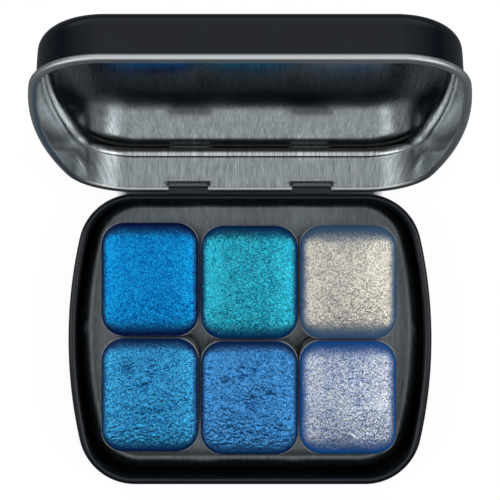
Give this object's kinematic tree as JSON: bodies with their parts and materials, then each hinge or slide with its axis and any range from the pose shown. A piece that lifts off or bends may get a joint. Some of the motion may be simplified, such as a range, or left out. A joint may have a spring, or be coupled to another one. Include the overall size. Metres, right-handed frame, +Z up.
{
  "type": "watercolor pan set",
  "caption": "Pocket watercolor set: a hinged metal tin, open, holding two rows of rounded half pans overfilled with shimmer paint on magnet pads.",
  "frame": {"origin": "middle of the tin's underside, on the surface that it stands on", "axes": "+X to the right, +Y towards the hinge, +Z up; the lid is open on its stop"},
  "size_m": [0.063, 0.0706, 0.0566],
  "materials": {
    "black_lacquer": "satin black lacquer on tinplate, bare inside",
    "bare_tinplate": "rolled tinplate, bare inside and black lacquer outside",
    "pan_plastic": "moulded translucent plastic",
    "flexible_magnet": "matt",
    "royal_blue_paint": "dried shimmer watercolour with mica, satin with glitter",
    "teal_paint": "dried shimmer watercolour with mica, satin with glitter",
    "champagne_paint": "dried shimmer watercolour with mica, satin with glitter",
    "azure_paint": "dried shimmer watercolour with mica, satin with glitter",
    "denim_blue_paint": "dried shimmer watercolour with mica, satin with glitter",
    "pearl_blue_paint": "dried shimmer watercolour with mica, satin with glitter"
  },
  "bodies": {
    "base": {"tin_base": "black_lacquer"},
    "lid": {"tin_lid": "bare_tinplate"},
    "pan_rear_left": {"half_pan_rear_left": "pan_plastic", "paint_cake_rear_left": "royal_blue_paint", "magnet_pad_rear_left": "flexible_magnet"},
    "pan_rear_middle": {"half_pan_rear_middle": "pan_plastic", "paint_cake_rear_middle": "teal_paint", "magnet_pad_rear_middle": "flexible_magnet"},
    "pan_rear_right": {"half_pan_rear_right": "pan_plastic", "paint_cake_rear_right": "champagne_paint", "magnet_pad_rear_right": "flexible_magnet"},
    "pan_front_left": {"half_pan_front_left": "pan_plastic", "paint_cake_front_left": "azure_paint", "magnet_pad_front_left": "flexible_magnet"},
    "pan_front_middle": {"half_pan_front_middle": "pan_plastic", "paint_cake_front_middle": "denim_blue_paint", "magnet_pad_front_middle": "flexible_magnet"},
    "pan_front_right": {"half_pan_front_right": "pan_plastic", "paint_cake_front_right": "pearl_blue_paint", "magnet_pad_front_right": "flexible_magnet"}
  },
  "joints": [
    {"name": "lid_hinge", "type": "hinge", "parent": "base", "child": "lid", "pos_m": [0, 0.0249, 0.0086], "axis": [-1, 0, 0], "range_deg": [-108, 0]},
    {"name": "lift_rear_left", "type": "slide", "parent": "base", "child": "pan_rear_left", "axis": [0, 0, 1], "range_m": [0, 0.016]},
    {"name": "lift_rear_middle", "type": "slide", "parent": "base", "child": "pan_rear_middle", "axis": [0, 0, 1], "range_m": [0, 0.016]},
    {"name": "lift_rear_right", "type": "slide", "parent": "base", "child": "pan_rear_right", "axis": [0, 0, 1], "range_m": [0, 0.016]},
    {"name": "lift_front_left", "type": "slide", "parent": "base", "child": "pan_front_left", "axis": [0, 0, 1], "range_m": [0, 0.016]},
    {"name": "lift_front_middle", "type": "slide", "parent": "base", "child": "pan_front_middle", "axis": [0, 0, 1], "range_m": [0, 0.016]},
    {"name": "lift_front_right", "type": "slide", "parent": "base", "child": "pan_front_right", "axis": [0, 0, 1], "range_m": [0, 0.016]}
  ]
}
